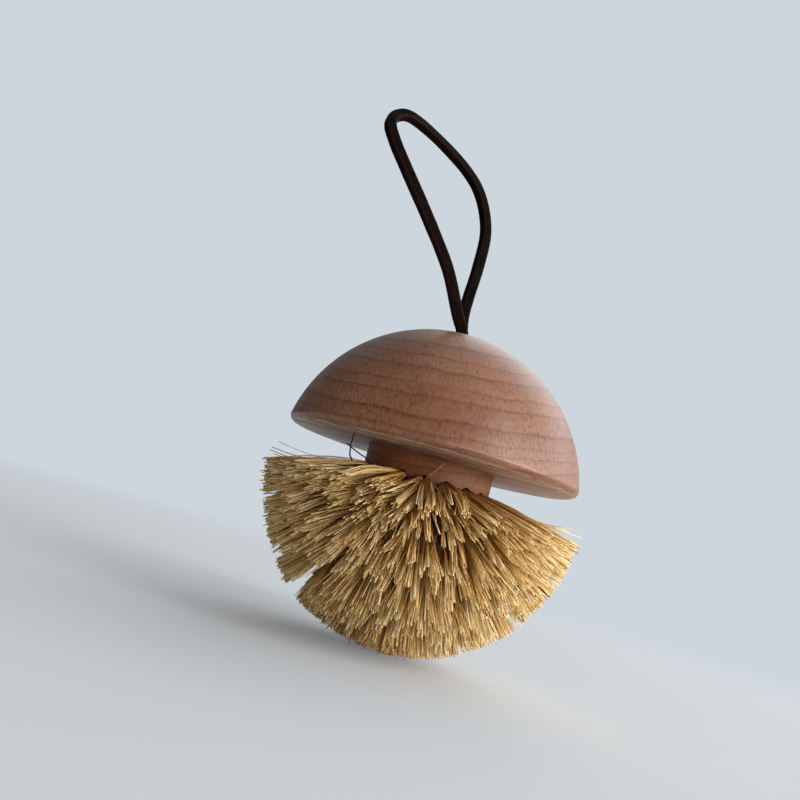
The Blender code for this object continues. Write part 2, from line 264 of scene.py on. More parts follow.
# Camera
CAMERA_PLACE = (-0.0127, -0.2350, 0.0333)
CAMERA_PITCH = radians(98)
CAMERA_ROLL = radians(15.9)
CAMERA_LENS = 39.0
SENSOR_WIDTH = 36
CLIP_START = 0.01

# Floor and backdrop
BACK_COLOUR = (205, 214, 221)
FLOOR_COLOUR = (240, 240, 239)
FLOOR_GLOW_SHARE = 0.22
FLOOR_FADE = (0.10, 0.70)
FLOOR_RADIUS = 1.6
FLOOR_SIDES = 64

# Light from all round: brightest and coolest towards one side
FILL_WAY = (0.86, 0.34, 0.38)
FILL_DIM = 0.05
FILL_BRIGHT = 0.62
FILL_RANGE = (-0.3, 1.0)
FILL_WARM = (1.0, 0.69, 0.44, 1)
FILL_COOL = (0.86, 0.94, 1.0, 1)
FILL_WARM_RANGE = (-1.0, 0.4)
GLOSS_DIM = 0.12
GLOSS_RANGE = (-0.3, 0.9)

# Lamps: name, place, aim, width, height, power, colour
LAMPS = (
    ("window", (1.12, -0.75, 0.80), (0, 0, 0.05), 0.62, 1.14, 7.1, (0.94, 0.97, 1.0)),
    ("side_window", (1.30, 0.28, 0.50), (0, 0, 0.05), 1.00, 0.90, 4.9, (0.94, 0.97, 1.0)),
    ("back_window", (0.44, 0.84, 0.87), (0, 0, 0.05), 1.10, 0.80, 4.0, (0.95, 0.98, 1.0)),
    ("low_side", (1.05, -0.55, 0.15), (0, 0, 0.02), 0.90, 0.28, 8.2, (0.97, 0.98, 1.0)),
    ("low_front", (0.50, -1.10, 0.14), (0, 0, 0.01), 0.80, 0.22, 4.2, (1.0, 0.98, 0.96)),
)

# Fibres: how many, and how far a row's tips spread. A tuple of five has one value a row.
FOLDED_STRANDS = 130
TRIM_DEPTH = 0.0011
TRIM_SCATTER = 0.00020
AROUND_FILLS = (1.62, 1.80, 1.85, 1.85, 1.6)
DOWN_FILLS = (1.40, 1.50, 1.54, 1.50, 1.60)
UP_FILLS = (1.00, 1.42, 1.50, 1.60, 1.60)
DROOPS = (0.0, 0.0, 0.0016, 0.0012, 0.0)
LEANS = (0.0010, 0.0010, 0.0010, 0.0008, 0.0005)
TIP_SCATTER = 0.0014
WIDE_SHARES = (0.24, 0.22, 0.15, 0.12, 0.12)
WIDE_SCATTERS = (0.0036, 0.0056)
TOP_LIMIT = 1.05
TOP_LIMIT_SLOPE = 0.3
REACH_LIMIT = 0.0438
FLOOR_TRIM = 0.0005
FLOOR_CLEARANCE = 0.0001
LOWEST_POINT = 0.00001

# Fibres: roots in the bore's mouth, and the fold under the wire
ROOT_SPREAD = 0.00190
ROOT_ROUNDING = 0.72
ROOT_SIDE_SHARE = 0.97
ROOT_SIDE_ROUNDING = 0.55
ROOT_NOTCH = 0.00085
ROOT_NOTCH_WIDTH = 0.00060
ROOT_NOTCH_SCATTER = 0.00025
BORE_SQUEEZE = (0.75, 0.45)
FOLD_SQUEEZE = 0.25
FOLD_HEIGHTS = (0.15, 0.85)

# Fibres: locks that draw together
LOCK_SIZES = (15, 13, 10, 9, 9)
LOCK_BOW = 0.0009
LOCK_LEAST_PULL = 0.20
LOCK_PULLS = (0.90, 0.78, 0.58, 0.50, 0.50)
LOCK_DEPTH_SHARE = 0.6

# Fibres: lengths below the trimmed ball
LENGTH_JITTER = 0.00035
LOW_SHARES = (0.42, 0.20, 0.10, 0.08, 0.08)
LOW_REACH = 0.0034
SHORT_SHARES = (0.06, 0.04, 0.02, 0.02, 0.02)
SHORT_REACH = 0.0090
LONG_SHARE = 0.010
LONG_REACH = 0.0008

# Fibres: their lines from root to tip
LEG_STEPS = (0.0, 0.07, 0.20, 0.40, 0.62, 0.82, 1.0)
WILDNESS = (1.0, 0.75, 0.55, 0.50, 0.50)
BEND_SHARES = (0.02, 0.11)
BOW = 0.0004
SWAY = 0.00022
FLARE = 0.0007
FLARE_SHARE = 0.30
CROOKED_SHARE = 0.06
CROOKED_REACH = 0.0014
CROOK_STARTS = (0.45, 0.80)

# Fibres: thickness and section. ANY_WAY only sets where a section's turn is counted from.
ROOT_FIBRE_RADIUS = 0.00012
FIBRE_RADIUS = 0.00015
THICKNESS_SCATTER = 0.22
THICKNESS_LIMITS = (0.62, 1.5)
GROWN_AT = 0.30
TAPER = 0.12
TAPER_START = 0.6
FLATNESS_LIMITS = (0.88, 1.14)
CUT_SLANT = 0.7
ANY_WAY = (0.31, 0.57, 0.76)

# Fibres: shades from 0 to 1, and the places of shade and length on the OFBake map
SHADE_SPREAD = (1.9, 1.6)
SHADE_SCATTER = 0.05
SHADE_LIMITS = (0.06, 0.99)
DARK_SHARE = 0.014
BAKE_SPANS = (0.94, 0.96)
BAKE_SIDES = (0.0, 0.01, 0.02, 0.01)
BAKE_EDGE = 0.02

# Single fibres that stand out in the photograph: tuft, tip, bend, shade
STRAYS = (
    ("top_15", (-0.0213, -0.0200, 0.0524), (-0.0225, -0.0185, 0.0430), 0.0),
    ("top_16", (-0.0225, -0.0196, 0.0495), (-0.0185, -0.0193, 0.0474), 0.0),
    ("top_14", (-0.0406, -0.0040, 0.0461), (-0.0300, -0.0040, 0.0440), 0.50),
    ("top_14", (-0.0418, -0.0080, 0.0432), (-0.0300, -0.0070, 0.0415), 0.60),
    ("top_13", (-0.0427, 0.0020, 0.0445), (-0.0310, 0.0020, 0.0430), 0.35),
    ("upper_12", (-0.0285, -0.0040, 0.0137), (-0.0180, -0.0040, 0.0250), 0.0),
    ("top_18", (0.0023, -0.0192, 0.0513), (-0.0002, -0.0196, 0.0478), 0.22),
    ("top_02", (0.0173, -0.0340, 0.0417), (0.0120, -0.0240, 0.0445), 1.0),
    ("top_04", (0.0384, -0.0120, 0.0448), (0.0280, -0.0110, 0.0425), 0.60),
    ("top_05", (0.0397, -0.0020, 0.0440), (0.0290, -0.0020, 0.0415), 0.70),
)
STRAY_RADIUS = 0.00015
STRAY_LEAST = 0.7
STRAY_MORE = 0.6

# The parting between the upper and lower rows, at the left of the photograph
PARTING_TURN = radians(-177)
PARTING_HALF_LENGTH = 0.024
PARTING_ANGLE = radians(39)
PARTING_FADE = radians(9)
PARTING_UPPER = radians(2.4)
PARTING_LOWER = radians(3.4)


def camera():
    """The photograph's view of the brush, with the brush upright."""
    data = bpy.data.cameras.new("camera")
    data.lens = CAMERA_LENS
    data.sensor_width = SENSOR_WIDTH
    data.clip_start = CLIP_START
    made = bpy.data.objects.new("camera", data)
    bpy.context.scene.collection.objects.link(made)
    turned = Matrix.Rotation(CAMERA_PITCH, 4, "X") @ Matrix.Rotation(CAMERA_ROLL, 4, "Z")
    made.matrix_world = Matrix.Translation(CAMERA_PLACE) @ turned
    bpy.context.scene.camera = made


def new_object(name, points, faces, material=None, smooth=True):
    """A mesh object in the scene from points and faces."""
    mesh = bpy.data.meshes.new(name)
    mesh.from_pydata([tuple(p) for p in points], [], faces)
    mesh.update()
    if smooth:
        mesh.polygons.foreach_set("use_smooth", [True] * len(mesh.polygons))
    made = bpy.data.objects.new(name, mesh)
    bpy.context.scene.collection.objects.link(made)
    if material:
        mesh.materials.append(material)
    return made


class Nodes:
    """Short calls for building a node tree."""

    def __init__(self, tree):
        self.tree = tree

    def add(self, kind, inputs=(), **settings):
        """A node of this kind, with its settings and its inputs by name or number."""
        node = self.tree.nodes.new("ShaderNode" + kind)
        for key, value in settings.items():
            setattr(node, key, value)
        for key, value in dict(inputs).items():
            self.feed(node.inputs[key], value)
        return node

    def feed(self, socket, value):
        """Link an output to a socket, or set the socket's value."""
        if isinstance(value, bpy.types.NodeSocket):
            self.tree.links.new(value, socket)
        else:
            socket.default_value = value

    def math(self, operation, a, b=0.0, c=0.0):
        """The output of a Math node."""
        return self.add("Math", {0: a, 1: b, 2: c}, operation=operation).outputs[0]

    def ramp(self, factor, stops):
        """The colour of a ramp through (place, colour) stops."""
        node = self.add("ValToRGB", {"Fac": factor})
        elements = node.color_ramp.elements
        for i, (place, colour) in enumerate(stops):
            stop = elements[i] if i < 2 else elements.new(place)
            stop.position = place
            stop.color = (*colour, 1)
        return node.outputs["Color"]

    def mix(self, blend, factor, a, b):
        """The colour of a Mix node."""
        node = self.add("Mix", data_type="RGBA", blend_type=blend)
        self.feed(node.inputs["Factor"], factor)
        self.feed(node.inputs[6], a)
        self.feed(node.inputs[7], b)
        return node.outputs[2]

    def noise(self, vector, scale, detail=2.0, rough=0.5):
        """The value of a noise over a vector."""
        inputs = {"Vector": vector, "Scale": scale, "Detail": detail, "Roughness": rough}
        return self.add("TexNoise", inputs).outputs["Fac"]

    def scaled(self, vector, scale, offset=(0, 0, 0), turn=(0, 0, 0)):
        """A vector moved, turned and scaled by a Mapping node."""
        inputs = {"Vector": vector, "Scale": scale, "Location": offset, "Rotation": turn}
        return self.add("Mapping", inputs).outputs[0]

    def grain(self, vector, fineness, detail=2.0, rough=0.5):
        """The value of a noise that is finer along some axes than along others."""
        return self.noise(self.scaled(vector, fineness), 1.0, detail, rough)

    def ranged(self, value, before, after=(0.0, 1.0), kind="LINEAR"):
        """A value carried from one range to another by a Map Range node."""
        inputs = {"Value": value, "From Min": before[0], "From Max": before[1]}
        inputs.update({"To Min": after[0], "To Max": after[1]})
        return self.add("MapRange", inputs, interpolation_type=kind).outputs[0]

    def seen_rays(self):
        """1 for rays from the camera, gloss or glass, and 0 for those that light the object."""
        ray = self.add("LightPath").outputs
        indirect = self.math("MAXIMUM", ray["Is Glossy Ray"], ray["Is Transmission Ray"])
        return self.math("MAXIMUM", ray["Is Camera Ray"], indirect)


class Surface(Nodes):
    """A material, with short calls for its shader."""

    def __init__(self, name):
        self.material = bpy.data.materials.new(name)
        self.material.use_nodes = True
        super().__init__(self.material.node_tree)
        self.shader = self.tree.nodes["Principled BSDF"]

    def put(self, name, value):
        """Feed one of the shader's inputs."""
        self.feed(self.shader.inputs[name], value)

    def bump(self, height, strength, distance):
        """Feed a height into the shader's normal."""
        inputs = {"Height": height, "Strength": strength, "Distance": distance}
        self.put("Normal", self.add("Bump", inputs).outputs[0])


def linear(colour):
    """An sRGB colour from 0 to 255 as linear light."""
    shares = [value / 255 for value in colour]
    return tuple(v / 12.92 if v <= 0.04045 else ((v + 0.055) / 1.055) ** 2.4 for v in shares)


def linear_stops(stops):
    """The stops of a ramp with their colours as linear light."""
    return [(place, linear(colour)) for place, colour in stops]


def wood_material(name, offset, tints, dull=0.20, gloss=0.62, painted_shade=0.0):
    """Oiled beech: growth rings as thin dark wavy layers, short rays across them, soft clouding."""
    n = Surface(name)
    here = n.add("TexCoord").outputs["Object"]
    place = n.scaled(here, (1, 1, 1), offset)

    wave = n.math("SUBTRACT", n.grain(place, WAVE_GRAIN), 0.5)
    ripple = n.math("SUBTRACT", n.grain(place, RIPPLE_GRAIN), 0.5)
    across = n.add("VectorMath", {0: place, 1: RING_WAY}, operation="DOT_PRODUCT").outputs["Value"]
    across = n.math("MULTIPLY_ADD", wave, RING_WAVE, across)
    across = n.math("MULTIPLY_ADD", ripple, RING_RIPPLE, across)
    uneven = n.noise(n.add("CombineXYZ", {"Z": across}).outputs[0], RING_UNEVEN_SCALE, 1.0)
    uneven = n.math("MULTIPLY", uneven, RING_UNEVEN)
    ring = n.ramp(
        n.math("FRACT", n.math("MULTIPLY_ADD", across, 1 / RING_SPACING, uneven)), RING_SHADES
    )
    faint = n.math("MULTIPLY_ADD", n.grain(place, FAINT_GRAIN), -1.0, RING_FAINT_SHARE)
    ring = n.mix("MIX", faint, ring, RING_FAINT)

    leaned = n.scaled(place, (1, 1, 1), turn=(0, RAY_LEAN, 0))
    rays = n.grain(leaned, RAY_GRAIN, 1.0, 0.4)
    patch = n.noise(n.scaled(place, PATCH_GRAIN, PATCH_PLACE), 1.0, 1.0)
    flecks = n.ramp(n.math("MULTIPLY_ADD", patch, PATCH_STRENGTH, rays), FLECK_SHADES)
    streak = n.grain(place, STREAK_GRAIN, 2.0, 0.55)
    pores = n.grain(place, PORE_GRAIN, 2.0, 0.6)
    cloud = n.grain(place, CLOUD_GRAIN, 3.0)
    base = n.ramp(cloud, zip(CLOUD_PLACES, map(linear, tints)))

    height = n.add("SeparateXYZ", {0: here}).outputs["Z"]
    facing = n.add("SeparateXYZ", {0: n.add("NewGeometry").outputs["True Normal"]}).outputs["Z"]
    under = n.ranged(facing, UNDERSIDE_FACING, (1.0, 0.0))
    edge = n.ranged(height, EDGE_HEIGHTS, (0.0, EDGE_STRENGTH), "SMOOTHSTEP")
    edge = n.math("MULTIPLY", edge, n.math("SUBTRACT", 1.0, under))
    colour = n.mix("MULTIPLY", edge, base, EDGE_SHADE)
    # Painted sheen: a pale colour streaked along the grain on the underside stands in for its
    # reflection of the pale surroundings
    sheen_streaks = n.math("MULTIPLY_ADD", n.grain(place, SHEEN_STREAK_GRAIN, 3.0, 0.6), SHEEN_STREAK_CONTRAST, SHEEN_STREAK_LEVEL)
    painted_sheen = n.math("MULTIPLY", under, sheen_streaks)
    colour = n.mix("MIX", painted_sheen, colour, (*linear(UNDERSIDE_SHEEN_COLOUR), 1))
    # Painted shade: the wood darkens towards the foot of the neck, where the tufts shade it
    if painted_shade:
        painted_neck_shade = n.ranged(height, NECK_PAINTED_SHADE_HEIGHTS, (0.0, painted_shade))
        colour = n.mix("MULTIPLY", painted_neck_shade, colour, NECK_PAINTED_SHADE)
    streaks = n.ramp(streak, STREAK_SHADES)
    pores_shade = n.ramp(pores, PORE_SHADES)
    for strength, shade in ((1.0, ring), (0.95, flecks), (0.9, streaks), (0.9, pores_shade)):
        colour = n.mix("MULTIPLY", strength, colour, shade)
    n.put("Base Color", colour)

    rough = dull
    for strength, pattern in ((0.10, pores), (0.20, streak), (0.12, under), (0.08, cloud)):
        rough = n.math("MULTIPLY_ADD", pattern, strength, rough)
    n.put("Roughness", rough)
    n.put("Specular IOR Level", gloss)
    relief = n.math("MULTIPLY", pores, 0.5)
    relief = n.math("MULTIPLY_ADD", n.add("RGBToBW", {0: flecks}).outputs[0], 0.5, relief)
    n.bump(n.math("MULTIPLY_ADD", streak, 0.4, relief), 0.14, 0.0001)
    return n.material


def fibre_material():
    """Cut plant fibre: straw that varies by strand, painted shade towards the root, painted
    highlight at the cut.
    """
    n = Surface("plant_fibre")
    shade = n.add("Attribute", attribute_name="shade").outputs["Fac"]
    along = n.add("Attribute", attribute_name="along").outputs["Fac"]
    base = n.ramp(shade, linear_stops(FIBRE_COLOURS))
    # Painted shade darkens each strand towards its root, and a painted highlight pales its cut end
    length = n.ramp(along, FIBRE_PAINTED_SHADE_AND_HIGHLIGHT)
    n.put("Base Color", n.mix("MULTIPLY", 1.0, base, length))
    n.put("Roughness", n.math("MULTIPLY_ADD", shade, -0.12, 0.56))
    n.put("Specular IOR Level", 0.24)
    return n.material


def leather_material():
    """Dark leather lace: fine grain, browner where the corners are rubbed."""
    n = Surface("dark_leather")
    place = n.add("TexCoord").outputs["Object"]
    corner = n.add("Attribute", attribute_name="corner").outputs["Fac"]
    grain = n.noise(place, *LEATHER_GRAIN)
    blotch = n.noise(place, *LEATHER_BLOTCH)
    base = n.ramp(blotch, linear_stops(LEATHER_COLOURS))
    rubbed = n.math("MULTIPLY", corner, n.math("MULTIPLY_ADD", grain, 1.5, -0.25))
    n.put("Base Color", n.mix("MIX", rubbed, base, (*linear(RUBBED_COLOUR), 1)))
    n.put("Roughness", n.math("MULTIPLY_ADD", grain, 0.25, 0.55))
    n.put("Specular IOR Level", 0.03)
    n.bump(n.math("ADD", grain, n.math("MULTIPLY", blotch, 0.6)), 0.45, 0.00012)
    return n.material


def wire_material():
    """Drawn steel wire, with fine streaks and dull patches."""
    n = Surface("steel_wire")
    place = n.add("TexCoord").outputs["Object"]
    streak = n.noise(place, *WIRE_STREAK)
    dull = n.noise(place, *WIRE_DULL)
    n.put("Base Color", n.ramp(dull, STEEL_SHADES))
    n.put("Metallic", 1.0)
    n.put("Roughness", n.math("MULTIPLY_ADD", streak, 0.25, 0.22))
    n.bump(streak, 0.15, 0.00004)
    return n.material


def smooth_curve(route, step):
    """Points about a step apart on a smooth curve that passes through the route."""
    route = np.array(route, float)
    ends = np.vstack([2 * route[0] - route[1], route, 2 * route[-1] - route[-2]])
    fine = [route[0]]
    for before, start, end, after in zip(ends, ends[1:], ends[2:], ends[3:]):
        bend = (end - before) / 2, (after - start) / 2
        for t in np.linspace(0, 1, CURVE_STEPS)[1:]:
            near = start * (2 * t**3 - 3 * t**2 + 1) + end * (3 * t**2 - 2 * t**3)
            fine.append(near + bend[0] * (t**3 - 2 * t**2 + t) + bend[1] * (t**3 - t**2))
    fine = np.array(fine)
    lengths = np.concatenate([[0], np.cumsum(np.linalg.norm(np.diff(fine, axis=0), axis=1))])
    count = max(2, round(lengths[-1] / step))
    want = np.linspace(0, lengths[-1], count + 1)
    return np.column_stack([np.interp(want, lengths, fine[:, k]) for k in range(3)])


def unit(vectors):
    """Vectors of length 1."""
    return vectors / np.linalg.norm(vectors, axis=-1, keepdims=True)


def carried_frames(points, start):
    """Tangents and a normal carried along a polyline without twist."""
    tangents = unit(np.gradient(points, axis=0))
    normals = np.zeros_like(points)
    normal = start
    for i, tangent in enumerate(tangents):
        normal = normal - tangent * normal.dot(tangent)
        normal = normal / np.linalg.norm(normal)
        normals[i] = normal
    return tangents, normals


def rounded_section(width, thickness, corner, steps):
    """Points (x, y) of a rounded rectangle, and 0 to 1 for how far each is round a corner."""
    points, shares = [], []
    for k in range(4):
        sx, sy = ((1, 1), (-1, 1), (-1, -1), (1, -1))[k]
        cx, cy = sx * (width / 2 - corner), sy * (thickness / 2 - corner)
        for i in range(steps + 1):
            a = pi / 2 * (k + i / steps)
            points.append((cx + corner * cos(a), cy + corner * sin(a)))
            shares.append(sin(pi * i / steps))
    return np.array(points), np.array(shares)


def add_floats(made, name, values):
    """Store one number a vertex under a name that a material reads."""
    attribute = made.data.attributes.new(name, "FLOAT", "POINT")
    attribute.data.foreach_set("value", np.asarray(values, np.float32))


def lace_points():
    """The whole lace's centreline: out of the knot chamber, round the loop and back."""
    low = CHAMBER_Z - FIT_GAP
    inner = (low, CHAMBER_Z + (APEX_Z - CHAMBER_Z) / 2)
    up = [(0, -LEG_OFFSET, z) for z in inner]
    free = [(x, y, APEX_Z + z) for x, y, z in LACE_ROUTE]
    down = [(0, LEG_OFFSET, z) for z in reversed(inner)]
    return smooth_curve(up + free + down, LACE_STEP)


def tube_faces(count, ring, closed):
    """Faces between the rings of a tube, with a cap at both ends unless it is closed."""
    faces = []
    for i in range(count if closed else count - 1):
        a, b = i * ring, (i + 1) % count * ring
        for j in range(ring):
            k = (j + 1) % ring
            faces.append((a + j, b + j, b + k, a + k) if closed else (a + j, a + k, b + k, b + j))
    if not closed:
        faces.append(tuple(range(ring))[::-1])
        faces.append(tuple((count - 1) * ring + j for j in range(ring)))
    return faces


def lace(leather):
    """The leather lace: a soft-cornered section swept along its route, slightly uneven."""
    rng = np.random.default_rng(11)
    points = lace_points()
    count = len(points)
    tangents, normals = carried_frames(points, np.array([1.0, 0.0, 0.0]))
    sides = np.cross(tangents, normals)
    ending = atan2(normals[-1].dot([0, 1, 0]), normals[-1].dot([1, 0, 0]))
    ending = (ending + pi / 2) % pi - pi / 2
    turn = -ending * np.linspace(0, 1, count)
    section, shares = rounded_section(LACE_WIDTH, LACE_THICKNESS, LACE_CORNER, LACE_CORNER_STEPS)
    ring = len(section)
    changes = []
    for number in (LACE_WIDTH_CHANGES, LACE_THICKNESS_CHANGES):
        places = np.linspace(0, count, number)
        changes.append(np.interp(np.arange(count), places, rng.normal(0, 1, number)))
    wider, thicker = changes
    verts = np.zeros((count, ring, 3))
    for i in range(count):
        ends = min(i, count - 1 - i)
        loose = min(1.0, ends / LACE_SLIM_STEPS)
        wide = 1 + loose * LACE_WIDTH_SCATTER * wider[i] - LACE_SLIMMING * loose
        thick = 1 + loose * LACE_THICKNESS_SCATTER * thicker[i] - LACE_SLIMMING * loose
        uneven = 1 + rng.normal(0, LACE_ROUGHNESS, ring)
        x = section[:, 0] * wide * uneven
        y = section[:, 1] * thick * uneven
        c, s = cos(turn[i]), sin(turn[i])
        across = np.outer(x * c - y * s, normals[i])
        verts[i] = points[i] + across + np.outer(x * s + y * c, sides[i])
    faces = tube_faces(count, ring, False)
    made = new_object("leather_loop", verts.reshape(-1, 3), faces, leather)
    add_floats(made, "corner", np.tile(shares, count))
    return made, points


def knot(leather):
    """The knot of the lace's two ends, under the roof of its chamber."""
    middle_z = CHAMBER_Z - FIT_GAP - KNOT_RISE - KNOT_LACE_RADIUS
    t = np.linspace(0, 2 * pi, KNOT_STEPS, endpoint=False)
    points = np.column_stack([
        KNOT_SPREAD * (np.sin(t) + 2 * np.sin(2 * t)),
        KNOT_SPREAD * (np.cos(t) - 2 * np.cos(2 * t)),
        middle_z - KNOT_RISE * np.sin(3 * t),
    ])
    tangents = unit(np.roll(points, -1, 0) - np.roll(points, 1, 0))
    outward = unit(np.cross(tangents, [0, 0, 1.0]))
    upward = np.cross(outward, tangents)
    width = 2 * KNOT_LACE_RADIUS
    section, shares = rounded_section(width, width * KNOT_FLATNESS, KNOT_CORNER, KNOT_CORNER_STEPS)
    x, y = section[None, :, :1], section[None, :, 1:]
    verts = points[:, None] + x * outward[:, None] + y * upward[:, None]
    faces = tube_faces(KNOT_STEPS, len(section), True)
    made = new_object("leather_knot", verts.reshape(-1, 3), faces, leather)
    add_floats(made, "corner", np.tile(shares, KNOT_STEPS))
    return made


def arc(centre_x, centre_z, radius, start, end, steps):
    """Points (x, z) on an arc. Its angles run from straight up, towards +X."""
    turn = (end - start) / steps
    angles = [start + turn * i for i in range(steps + 1)]
    return [(centre_x + radius * sin(a), centre_z + radius * cos(a)) for a in angles]


def revolve(name, profile, steps, closed, material):
    """A turned shape from (x, z) points. A point on the axis becomes one vertex."""
    points, rows = [], []
    for x, z in profile:
        if x < TINY:
            rows.append([len(points)] * steps)
            points.append((0, 0, z))
            continue
        rows.append(list(range(len(points), len(points) + steps)))
        turns = [2 * pi * i / steps for i in range(steps)]
        points += [(x * cos(turn), x * sin(turn), z) for turn in turns]
    if closed:
        rows.append(rows[0])
    faces = []
    for low, high in zip(rows, rows[1:]):
        for i in range(steps):
            k = (i + 1) % steps
            corners = [low[i], high[i], high[k], low[k]]
            faces.append(tuple(dict.fromkeys(corners)))
    made = new_object(name, points, faces, material)
    made.data.set_sharp_from_angle(angle=SHARP_ANGLE)
    return made


def dome(wood):
    """The turned dome handle, with its mouth, rim, seat, socket and knot chamber."""
    mouth = LACE_HOLE_RADIUS + MOUTH_EASE
    round_z = RIM_Z + RIM_ROUND
    round_x = sqrt((DOME_RADIUS - RIM_ROUND) ** 2 - (round_z - DOME_CENTRE_Z) ** 2)
    rim_angle = atan2(round_x, round_z - DOME_CENTRE_Z)
    outside = arc(0, DOME_CENTRE_Z, DOME_RADIUS, asin(mouth / DOME_RADIUS), rim_angle, DOME_STEPS)
    edge = arc(round_x, round_z, RIM_ROUND, rim_angle, pi, RIM_STEPS)
    mouth_z = outside[0][1]
    ease = arc(mouth, mouth_z - MOUTH_EASE, MOUTH_EASE, -pi / 2, 0, MOUTH_STEPS)[:-1]
    inside = [
        (SEAT_RADIUS, RIM_Z),
        (SEAT_RADIUS, SEAT_Z),
        (SOCKET_RADIUS, SEAT_Z),
        (SOCKET_RADIUS, SOCKET_Z),
        (CHAMBER_RADIUS, SOCKET_Z),
        (CHAMBER_RADIUS, CHAMBER_Z - CHAMBER_TAPER),
        (CHAMBER_RADIUS - CHAMBER_TAPER, CHAMBER_Z),
        (LACE_HOLE_RADIUS, CHAMBER_Z),
    ]
    profile = outside + edge[1:] + inside + ease
    return revolve("wood_dome", profile, DOME_SIDES, True, wood)


def row_angle(row):
    """Angle of a row of tufts from straight down."""
    return TOP_ROW_ANGLE * (1 - row / (len(ROW_COUNTS) - 1))


def tip_angle(row):
    """Angle from straight down of the middle of a row's tips."""
    return row_angle(row) * TIP_SPAN_SHARE


def reach(angle):
    """Distance from the tufts' focus to the head's surface, at an angle from straight down."""
    drop = FOCUS_Z - BALL_Z
    if HEAD_RADIUS * cos(angle) < drop * sin(angle):
        return HEAD_RADIUS / sin(angle)
    return drop * cos(angle) + sqrt(HEAD_RADIUS**2 - (drop * sin(angle)) ** 2)


def tuft_turns(row):
    """Angles round the brush of the tufts in a row, counted from the front."""
    count = ROW_COUNTS[row]
    return [2 * pi * (i + ROW_TURN_SHARES[row]) / count - pi / 2 for i in range(count)]


def tuft_frame(row, turned):
    """Placement at the tufts' focus with +Z along a tuft."""
    lean = Euler((0, pi - row_angle(row), turned)).to_matrix().to_4x4()
    return Matrix.Translation((0, 0, FOCUS_Z)) @ lean


def head(wood):
    """The turned head: tenon, neck and ball, hollow, with a bore for each tuft."""
    shoulder_z = SEAT_Z - FIT_GAP
    tenon_z = SOCKET_Z - FIT_GAP
    cavity = arc(0, FOCUS_Z, CAVITY_RADIUS, pi, pi / 2, CAVITY_STEPS)
    ball = arc(0, BALL_Z, HEAD_RADIUS, pi / 2, pi, HEAD_STEPS)
    tenon = [
        (CAVITY_RADIUS, tenon_z),
        (TENON_RADIUS - TENON_CHAMFER, tenon_z),
        (TENON_RADIUS, tenon_z - TENON_CHAMFER),
        (TENON_RADIUS, shoulder_z),
        (HEAD_RADIUS, shoulder_z),
    ]
    made = revolve("wood_head", cavity + tenon + ball, HEAD_SIDES, False, wood)
    cutters = bpy.data.collections.new("bore_cutters")
    for row in range(len(ROW_COUNTS)):
        top = reach(row_angle(row))
        profile = [
            (0, top + CUT_OVERRUN),
            (BORE_RADIUS, top + CUT_OVERRUN),
            (BORE_RADIUS, top - BORE_DEPTH),
            (PILOT_RADIUS, CAVITY_RADIUS),
            (PILOT_RADIUS, CAVITY_RADIUS - CUT_OVERRUN),
            (0, CAVITY_RADIUS - CUT_OVERRUN),
        ]
        first = revolve("cutter", profile, BORE_SIDES, False, None)
        bpy.context.scene.collection.objects.unlink(first)
        for turned in tuft_turns(row):
            cutter = bpy.data.objects.new("cutter", first.data)
            cutter.matrix_world = tuft_frame(row, turned)
            cutters.objects.link(cutter)
        bpy.data.objects.remove(first)
    bpy.context.scene.collection.children.link(cutters)
    bores = made.modifiers.new("bores", "BOOLEAN")
    bores.operation = "DIFFERENCE"
    bores.operand_type = "COLLECTION"
    bores.collection = cutters
    bpy.context.view_layer.update()
    evaluated = made.evaluated_get(bpy.context.evaluated_depsgraph_get())
    shaped = bpy.data.meshes.new_from_object(evaluated)
    made.modifiers.clear()
    made.data = shaped
    shaped.name = "wood_head"
    for cutter in list(cutters.objects):
        bpy.data.objects.remove(cutter)
    bpy.data.collections.remove(cutters)
    shaped.set_sharp_from_angle(angle=SHARP_ANGLE)
    return made


def ball_tips(roots, ways, inwards):
    """Where rays meet the trimmed ball of tips, each ball smaller by its own amount."""
    offset = roots - np.array([0, 0, BALL_Z])
    along = (offset * ways).sum(1)
    radius = TIP_RADIUS - TRIM_DEPTH - inwards
    length = -along + np.sqrt(np.maximum(along**2 - (offset**2).sum(1) + radius**2, 0))
    return roots + ways * length[:, None]


def parted(tips):
    """Tips moved apart on both sides of the plane where the brush has opened."""
    away = tips - np.array([0, 0, BALL_Z])
    out = np.array([cos(PARTING_TURN), sin(PARTING_TURN), 0])
    along = np.cross(out, [0, 0, 1.0])
    side, front, down = away @ out, away @ along, -away[:, 2]
    angle = np.arctan2(side, down)
    size = np.hypot(side, down)
    near = np.exp(-((front / PARTING_HALF_LENGTH) ** 4)) * (side > 0)
    off = angle - PARTING_ANGLE
    most = np.where(off > 0, PARTING_UPPER, -PARTING_LOWER)
    angle = angle + most * near * np.exp(-np.abs(off) / PARTING_FADE)
    moved = np.outer(size * np.sin(angle), out) + np.outer(front, along)
    moved[:, 2] = -size * np.cos(angle)
    return moved + np.array([0, 0, BALL_Z])


